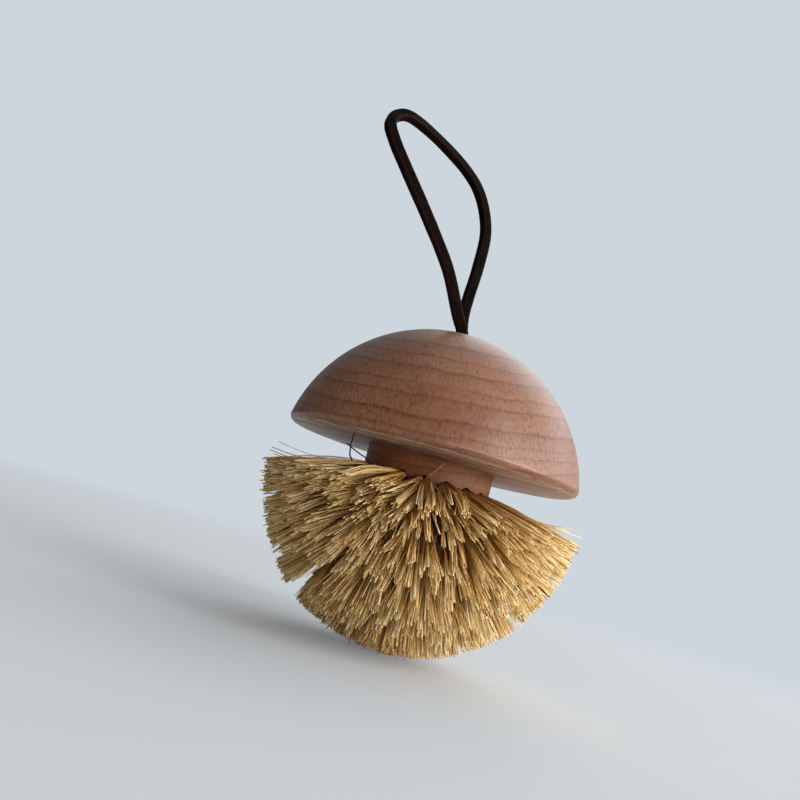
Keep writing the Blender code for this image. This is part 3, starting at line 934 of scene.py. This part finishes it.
def fibre_sweep(points, radii, flatness, turn, slant):
    """Four-sided tubes along many lines at once: points is (strands, steps, 3)."""
    strands, steps, _ = points.shape
    tangents = unit(np.gradient(points, axis=1))
    normals = np.zeros_like(points)
    normal = unit(np.cross(tangents[:, 0], ANY_WAY))
    for i in range(steps):
        tangent = tangents[:, i]
        normal = unit(normal - tangent * (normal * tangent).sum(1, keepdims=True))
        normals[:, i] = normal
    sides = np.cross(tangents, normals)
    verts = np.zeros((strands, steps, 4, 3))
    for k in range(4):
        a = turn + pi / 2 * k
        x = (np.cos(a) * flatness)[:, None, None] * radii[:, :, None]
        y = (np.sin(a) / flatness)[:, None, None] * radii[:, :, None]
        verts[:, :, k] = points + x * normals + y * sides
    for end in (0, -1):
        offset = verts[:, end] - points[:, end][:, None]
        tilt = (offset * slant[:, None]).sum(2, keepdims=True)
        verts[:, end] += tangents[:, end][:, None] * tilt
    return verts


def fibre_faces(strands, steps):
    """Faces of the tubes, with a cap at both ends."""
    ring = np.arange(4)
    after = (ring + 1) % 4
    base = (np.arange(strands)[:, None, None] * steps + np.arange(steps - 1)[None, :, None]) * 4
    quads = np.stack([base + ring, base + after, base + after + 4, base + ring + 4], -1)
    first = np.arange(strands)[:, None] * steps * 4
    low = first + ring[::-1]
    high = first + (steps - 1) * 4 + ring
    return np.concatenate([quads.reshape(-1, 4), low, high])


def cell_shares(rng, count):
    """Evenly scattered shares of a tuft's half cell: (0 to 1 from its slot out, -1 to 1 across)."""
    columns = max(1, round(sqrt(count / 2)))
    rows = -(-count // columns)
    places = [(i, j) for i in range(columns) for j in range(rows)][:count]
    jitter = rng.uniform(0, 1, (count, 2))
    shares = (np.array(places) + jitter) / (columns, rows)
    return shares * (1, 2) - (0, 1)


def locked(rng, targets, depths, size, most):
    """Targets and depths drawn together into small locks, each by its own amount up to the most."""
    locks = max(1, len(targets) // size)
    chosen = rng.choice(len(targets), locks, replace=False)
    gap = np.linalg.norm(targets[:, None] - targets[chosen][None], axis=2)
    lock = gap.argmin(1)
    pull = rng.uniform(LOCK_LEAST_PULL, most, locks)[lock]
    targets = targets + (targets[chosen][lock] - targets) * pull[:, None]
    depths = depths + (depths[chosen][lock] - depths) * pull * LOCK_DEPTH_SHARE
    bow = rng.normal(0, LOCK_BOW * most, (locks, 3))[lock]
    return targets, depths, bow


def half_strands(rng, row, side, count):
    """One half of each folded strand of a tuft, in its frame: roots, targets, depths and bows."""
    shares = cell_shares(rng, count)
    rng.shuffle(shares)
    half_row = TIP_RADIUS * tip_angle(len(ROW_COUNTS) - 2) / 2
    droop = TIP_RADIUS * (row_angle(row) - tip_angle(row))
    ring = 2 * pi * TIP_RADIUS * sin(tip_angle(row))
    half_turn = ring / ROW_COUNTS[row] / 2 if ring > 0 else half_row
    u, v = shares[:, 0], shares[:, 1]
    inner = SLOT_HALF_WIDTH + ROOT_FIBRE_RADIUS
    root_x = side * (inner + u * (ROOT_SPREAD * np.sqrt(1 - ROOT_ROUNDING * v**2) - inner))
    root_y = v * ROOT_SPREAD * ROOT_SIDE_SHARE * np.sqrt(1 - ROOT_SIDE_ROUNDING * u**2)
    notch = ROOT_SPREAD - ROOT_NOTCH * np.exp(-((root_y / ROOT_NOTCH_WIDTH) ** 2))
    root_x = np.maximum(root_x, -notch + rng.uniform(0, ROOT_NOTCH_SCATTER, count))
    fill = (DOWN_FILLS if side > 0 else UP_FILLS)[row]
    x = droop + DROOPS[row] + side * u * half_row * fill
    y = v * half_turn * AROUND_FILLS[row]
    targets = np.column_stack([x, y]) + rng.normal(0, TIP_SCATTER, (count, 2))
    wide = rng.random(count) < WIDE_SHARES[row]
    targets[wide] += rng.normal(0, WIDE_SCATTERS, (wide.sum(), 2))
    if row == 0:
        limit = droop - half_row * TOP_LIMIT + TOP_LIMIT_SLOPE * np.abs(targets[:, 0])
        targets[:, 0] = np.maximum(targets[:, 0], limit)
    depths = np.abs(rng.normal(0, LENGTH_JITTER, count))
    low = rng.random(count) < LOW_SHARES[row]
    depths[low] += rng.uniform(0, LOW_REACH, low.sum())
    short = rng.random(count) < SHORT_SHARES[row]
    depths[short] += rng.uniform(0, SHORT_REACH, short.sum())
    targets, depths, bow = locked(rng, targets, depths, LOCK_SIZES[row], LOCK_PULLS[row])
    long = rng.random(count) < LONG_SHARE
    depths[long] = -rng.uniform(0, LONG_REACH, long.sum())
    roots = np.column_stack([root_x, root_y, np.zeros(count)])
    return roots, np.column_stack([targets, np.full(count, TIP_RADIUS)]), depths, bow


def free_lines(rng, roots, tips, out, bow, wild):
    """Lines from roots to tips that leave along a bore, bow and sway. Some are crooked."""
    count = len(roots)
    length = np.linalg.norm(tips - roots, axis=1)
    bend = roots + out * (length * rng.uniform(*BEND_SHARES, count))[:, None]
    flare = rng.normal(0, FLARE, (count, 3))
    bend = bend + flare * (rng.random(count) < FLARE_SHARE)[:, None]
    bow = bow + rng.normal(0, BOW * wild, (count, 3))
    sway = rng.normal(0, SWAY * wild, (count, 3))
    crook = rng.normal(0, CROOKED_REACH * wild, (count, 3))
    crook = crook * (rng.random(count) < CROOKED_SHARE)[:, None]
    start = rng.uniform(*CROOK_STARTS, count)
    line = []
    for t in LEG_STEPS:
        spot = roots * (1 - t) ** 2 + bend * (2 * t * (1 - t)) + tips * t**2
        late = np.clip((t - start) / (1 - start), 0, 1)
        spot = spot + bow * (4 * t * t * (1 - t)) + sway * sin(2 * pi * t) * t
        spot = spot + crook * late[:, None]
        away = spot - np.array([0, 0, BALL_Z])
        size = np.linalg.norm(away, axis=1, keepdims=True)
        line.append(spot - away * (1 - np.minimum(1, REACH_LIMIT / size)))
    return np.stack(line, 1)


def on_floor(roots, tips, rng):
    """Tips cut level where they would pass the plane that the brush stands on."""
    low = FLOOR_CLEARANCE + rng.uniform(0, FLOOR_TRIM, len(tips))
    below = tips[:, 2] < low
    share = (roots[:, 2] - low) / np.maximum(roots[:, 2] - tips[:, 2], TINY)
    tips[below] = (roots + (tips - roots) * share[:, None])[below]
    return tips


def stray_line(line, tip, bend):
    """Send the first leg of a strand's line to a tip by way of a bend."""
    last = len(LEG_STEPS) - 1
    root = line[last].copy()
    for k, t in enumerate(LEG_STEPS):
        line[last - k] = root * (1 - t) ** 2 + bend * (2 * t * (1 - t)) + tip * t**2


def tuft_strands(row, index, turned):
    """One tuft's strands as lines in the part's frame: (rng, points, radii, along, shade)."""
    rng = np.random.default_rng(1000 * (row + 1) + index)
    place = np.array(tuft_frame(row, turned))
    axes, focus = place[:3, :3], place[:3, 3]
    mouth = reach(row_angle(row))
    under = mouth - BORE_DEPTH + FIT_GAP
    count = FOLDED_STRANDS
    lean = rng.normal(0, LEANS[row], 2)
    trim = rng.normal(0, TRIM_SCATTER)
    lines, depth = [], []
    for side in (-1, 1):
        roots, targets, depths, bow = half_strands(rng, row, side, count)
        targets[:, :2] += lean
        roots[:, 2] = mouth
        ways = unit(targets - roots * (1, 1, 0)) @ axes.T
        placed = roots @ axes.T + focus
        tips = parted(ball_tips(placed, ways, depths + trim))
        tips = on_floor(placed, tips, rng)
        lines.append(free_lines(rng, placed, tips, axes[:, 2], bow, WILDNESS[row]))
        floor = np.full(count, under + FOLD_HEIGHT)
        depth.append(np.column_stack([roots[:, :2] * BORE_SQUEEZE, floor]))
    fold = under + rng.uniform(*FOLD_HEIGHTS, count) * FOLD_HEIGHT
    middle = np.column_stack([np.zeros(count), FOLD_SQUEEZE * depth[0][:, 1], fold])
    bore = np.stack([depth[0], middle, depth[1]], 1) @ axes.T + focus
    points = np.concatenate([lines[0][:, ::-1], bore, lines[1]], 1)
    t = np.array(LEG_STEPS)
    along = np.concatenate([t[::-1], np.zeros(3), t])
    thick = np.clip(rng.lognormal(0, THICKNESS_SCATTER, count), *THICKNESS_LIMITS)
    grow = np.clip(along / GROWN_AT, 0, 1)
    radii = ROOT_FIBRE_RADIUS * (1 - grow) + (FIBRE_RADIUS * thick)[:, None] * grow
    radii = radii * (1 - TAPER * np.clip(along - TAPER_START, 0, 1) / (1 - TAPER_START))
    shade = rng.beta(*SHADE_SPREAD, count) + rng.normal(0, SHADE_SCATTER)
    shade = np.clip(shade, *SHADE_LIMITS)
    dark = rng.random(count) < DARK_SHARE
    shade[dark] = rng.uniform(0.0, SHADE_LIMITS[0], dark.sum())
    key = f"{ROW_NAMES[row]}_{index + 1:02d}"
    for spot, stray in enumerate(s for s in STRAYS if s[0] == key):
        stray_line(points[spot], np.array(stray[1]), np.array(stray[2]))
        thickening = STRAY_LEAST + STRAY_MORE * abs(2 * stray[3] - 1)
        radii[spot, :len(LEG_STEPS)] = STRAY_RADIUS * thickening
        shade[spot] = stray[3]
    steps = points.shape[1]
    return rng, points, radii, np.tile(along, (count, 1)), np.tile(shade[:, None], (1, steps))


def tuft(row, index, turned, fibre):
    """One tuft of folded strands, as a mesh."""
    rng, points, radii, along, shade = tuft_strands(row, index, turned)
    strands, steps, _ = points.shape
    flat = rng.uniform(*FLATNESS_LIMITS, strands)
    turn = rng.uniform(0, pi, strands)
    slant = rng.normal(0, CUT_SLANT, (strands, 3))
    verts = fibre_sweep(points, radii, flat, turn, slant)
    verts[..., 2] = np.maximum(verts[..., 2], LOWEST_POINT)
    faces = fibre_faces(strands, steps)
    name = f"fibres_{ROW_NAMES[row]}_{index + 1:02d}"
    made = new_object(name, verts.reshape(-1, 3), faces.tolist(), fibre)
    along, shade = np.repeat(along.reshape(-1), 4), np.repeat(shade.reshape(-1), 4)
    add_floats(made, "along", along)
    add_floats(made, "shade", shade)
    u = shade * BAKE_SPANS[0] + np.tile(BAKE_SIDES, strands * steps) + BAKE_EDGE
    v = along * BAKE_SPANS[1] + BAKE_EDGE
    uv = made.data.uv_layers.new(name="OFBake")
    loops = np.empty(len(made.data.loops), np.int32)
    made.data.loops.foreach_get("vertex_index", loops)
    uv.uv.foreach_set("vector", np.column_stack([u, v])[loops].astype(np.float32).ravel())
    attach(made, "root")
    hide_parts(f"tuft_{ROW_NAMES[row]}_{index + 1:02d}")


def stage():
    """A pale floor that runs out into a backdrop of the same colour."""
    n = Surface("pale_stage")
    place = n.add("TexCoord").outputs["Object"]
    away = n.add("VectorMath", {0: place}, operation="LENGTH").outputs["Value"]
    fade = n.ranged(away, FLOOR_FADE, (FLOOR_GLOW_SHARE, 1.0), "SMOOTHERSTEP")
    n.put("Base Color", (*linear(FLOOR_COLOUR), 1))
    n.put("Roughness", 0.9)
    n.put("Specular IOR Level", 0.0)
    glow = n.add("Emission", {"Color": (*linear(BACK_COLOUR), 1), "Strength": 1.0})
    share = n.math("MULTIPLY", fade, n.seen_rays())
    both = n.add("MixShader", {0: share, 1: n.shader.outputs[0], 2: glow.outputs[0]})
    n.feed(n.tree.nodes["Material Output"].inputs["Surface"], both.outputs[0])
    turns = [2 * pi * i / FLOOR_SIDES for i in range(FLOOR_SIDES)]
    points = [(0, 0, 0)]
    points += [(FLOOR_RADIUS * cos(turn), FLOOR_RADIUS * sin(turn), 0) for turn in turns]
    faces = [(0, i + 1, (i + 1) % FLOOR_SIDES + 1) for i in range(FLOOR_SIDES)]
    floor = new_object("floor", points, faces, n.material, smooth=False)


def world():
    """Pale light from all round, and the backdrop's colour where the camera sees it."""
    made = bpy.data.worlds.new("pale")
    bpy.context.scene.world = made
    made.use_nodes = True
    n = Nodes(made.node_tree)
    inputs = {0: n.add("TexCoord").outputs["Generated"], 1: FILL_WAY}
    towards = n.add("VectorMath", inputs, operation="DOT_PRODUCT").outputs["Value"]
    light = n.tree.nodes["Background"]
    cool = n.ranged(towards, FILL_WARM_RANGE)
    n.feed(light.inputs["Color"], n.mix("MIX", cool, FILL_WARM, FILL_COOL))
    level = n.ranged(towards, FILL_RANGE, (FILL_DIM, FILL_BRIGHT), "SMOOTHSTEP")
    n.feed(light.inputs["Strength"], level)
    gloss = n.ranged(towards, GLOSS_RANGE, (GLOSS_DIM, 1.0))
    bright = n.math("MAXIMUM", gloss, n.add("LightPath").outputs["Is Camera Ray"])
    seen = n.add("Background", {"Color": (*linear(BACK_COLOUR), 1), "Strength": bright})
    both = n.add("MixShader", {0: n.seen_rays(), 1: light.outputs[0], 2: seen.outputs[0]})
    n.feed(n.tree.nodes["World Output"].inputs["Surface"], both.outputs[0])


def area_light(name, place, aim, width, height, power, colour):
    """A soft lamp aimed at a point."""
    data = bpy.data.lights.new(name, "AREA")
    data.shape = "RECTANGLE"
    data.size = width
    data.size_y = height
    data.energy = power
    data.color = colour
    made = bpy.data.objects.new(name, data)
    bpy.context.scene.collection.objects.link(made)
    made.location = place
    made.rotation_mode = "QUATERNION"
    made.rotation_quaternion = (Vector(aim) - Vector(place)).to_track_quat("-Z", "Y")


camera()
leather = leather_material()
knot_piece = knot(leather)
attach(knot_piece, "root")
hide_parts("loop_knot")
lace_piece, lace_line = lace(leather)
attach(lace_piece, "root")
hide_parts("hanging_loop")

dome_wood = wood_material("oiled_beech", (0.0, 0.0, 0.0), DOME_TINTS)
head_wood = wood_material(
    "oiled_beech_head", HEAD_PLACE, HEAD_TINTS, HEAD_DULL, HEAD_GLOSS, HEAD_PAINTED_SHADE
)
dome_piece = dome(dome_wood)
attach(dome_piece, "root")
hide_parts("dome_handle")
head_piece = head(head_wood)
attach(head_piece, "root")
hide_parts("head_block")

wire = frame["nodes"]["draw_wire"]
wire.data.materials.clear()
wire.data.materials.append(wire_material())

fibre = fibre_material()
for row in range(len(ROW_COUNTS)):
    for index, turned in enumerate(tuft_turns(row)):
        tuft(row, index, turned, fibre)

stage()
world()
for lamp in LAMPS:
    area_light(*lamp)
bpy.context.scene.view_settings.view_transform = "Standard"
